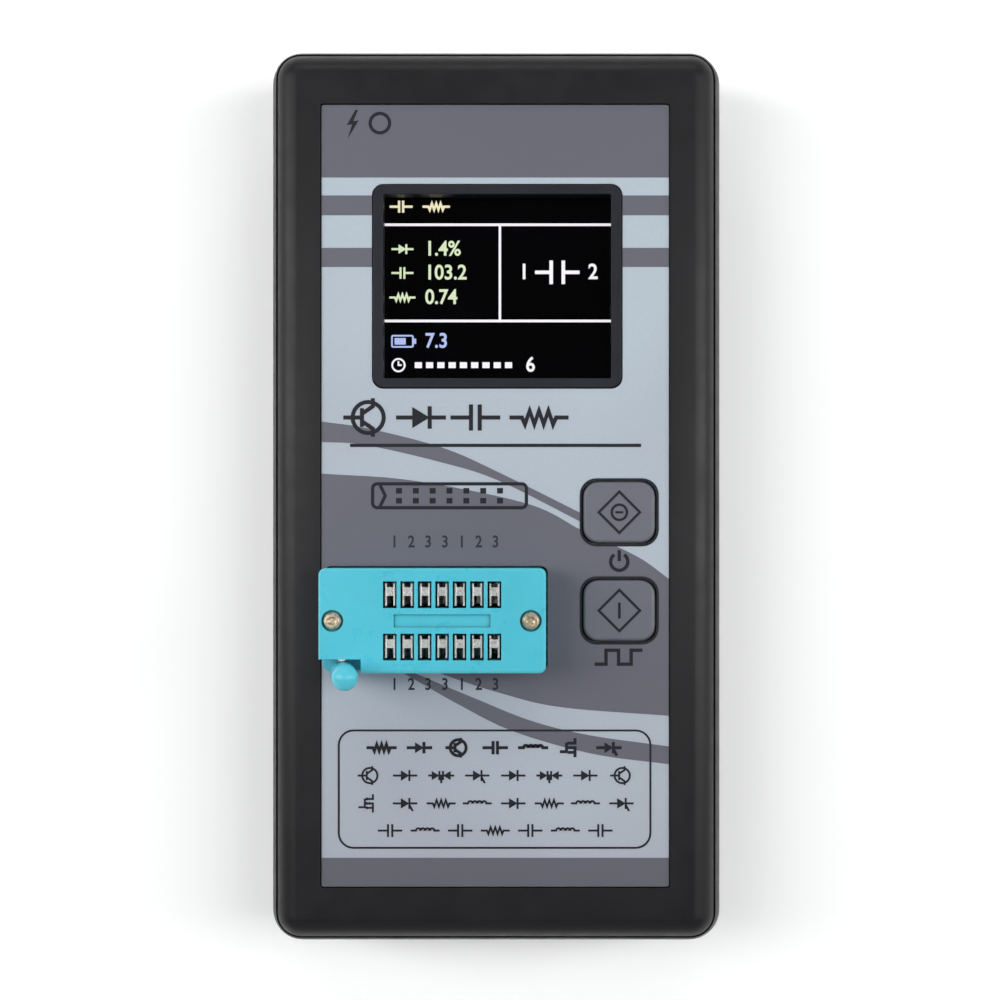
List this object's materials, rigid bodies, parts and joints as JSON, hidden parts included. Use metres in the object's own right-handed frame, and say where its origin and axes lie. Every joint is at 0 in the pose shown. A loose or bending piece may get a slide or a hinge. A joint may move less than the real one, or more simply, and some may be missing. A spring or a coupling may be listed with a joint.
{
  "type": "component tester",
  "caption": "Handheld electronic component tester with a display, push keys and a lever-operated test socket on the front of a flat case.",
  "frame": {"origin": "on the rear face, below the middle of the case's outline", "axes": "+Z out of the front panel, +Y towards the end above the display, +X to the right as the panel is read"},
  "size_m": [0.069, 0.1366, 0.0431],
  "materials": {
    "case_plastic": "fine moulded texture",
    "printed_film": "satin printed film",
    "dark_plastic": "satin",
    "clear_window": "clear polished",
    "display_glass": "polished",
    "steel": "plated",
    "ribbon_film": "satin film",
    "circuit_board": "solder mask",
    "black_resin": "matte",
    "capacitor_can": "satin",
    "key_rubber": "satin",
    "socket_plastic": "moulded gloss",
    "contact_metal": "tin plated",
    "rivet_brass": "satin",
    "battery_wrap": "satin printed wrap",
    "black_vinyl": "satin",
    "red_vinyl": "satin"
  },
  "bodies": {
    "case": {"front_shell": "case_plastic", "rear_shell": "case_plastic", "overlay_panel": "printed_film", "display_bezel": "dark_plastic", "display_lens": "clear_window", "lcd_glass": "display_glass", "lcd_frame": "steel", "crystal": "steel", "case_screw_1": "steel", "case_screw_2": "steel", "case_screw_3": "steel", "case_screw_4": "steel", "board_screw_1": "steel", "board_screw_2": "steel", "board_screw_3": "steel", "board_screw_4": "steel", "lcd_ribbon": "ribbon_film", "main_board": "circuit_board", "microcontroller": "black_resin", "voltage_regulator": "black_resin", "switch_off_body": "black_resin", "switch_test_body": "black_resin", "dc_jack": "black_resin", "smoothing_capacitor_1": "capacitor_can", "smoothing_capacitor_2": "capacitor_can", "zif_base": "socket_plastic", "zif_cover": "socket_plastic", "zif_contact_a1": "contact_metal", "zif_contact_a2": "contact_metal", "zif_contact_a3": "contact_metal", "zif_contact_a4": "contact_metal", "zif_contact_a5": "contact_metal", "zif_contact_a6": "contact_metal", "zif_contact_a7": "contact_metal", "zif_contact_b1": "contact_metal", "zif_contact_b2": "contact_metal", "zif_contact_b3": "contact_metal", "zif_contact_b4": "contact_metal", "zif_contact_b5": "contact_metal", "zif_contact_b6": "contact_metal", "zif_contact_b7": "contact_metal", "zif_rivet_left": "rivet_brass", "zif_rivet_right": "rivet_brass", "battery_9v": "battery_wrap", "battery_snap": "black_vinyl", "battery_lead_black": "black_vinyl", "battery_lead_red": "red_vinyl"},
    "off_key": {"key_off": "key_rubber", "switch_off_stem": "dark_plastic"},
    "test_key": {"key_test": "key_rubber", "switch_test_stem": "dark_plastic"},
    "socket_lever": {"zif_lever_handle": "socket_plastic", "zif_lever_shaft": "steel"},
    "socket_slider": {"zif_slider": "socket_plastic"},
    "battery_cover": {"battery_door": "case_plastic"}
  },
  "joints": [
    {"name": "lever_hinge", "type": "hinge", "parent": "case", "child": "socket_lever", "pos_m": [-0.0222, -0.02625, 0.0314], "axis": [0, -1, 0], "range_deg": [0, 98]},
    {"name": "slider_travel", "type": "slide", "parent": "case", "child": "socket_slider", "axis": [1, 0, 0], "range_m": [0, 0.0008]},
    {"name": "off_key_press", "type": "slide", "parent": "case", "child": "off_key", "axis": [0, 0, -1], "range_m": [0, 0.0005], "stiffness_N_per_m": 3000, "springref_m": -0.0002},
    {"name": "test_key_press", "type": "slide", "parent": "case", "child": "test_key", "axis": [0, 0, -1], "range_m": [0, 0.0005], "stiffness_N_per_m": 3000, "springref_m": -0.0002},
    {"name": "battery_door_slide", "type": "slide", "parent": "case", "child": "battery_cover", "axis": [0, -1, 0], "range_m": [0, 0.01]}
  ],
  "couplings": [
    {"joint": "lever_hinge", "follows": "slider_travel", "rad_per_m": 2138}
  ]
}
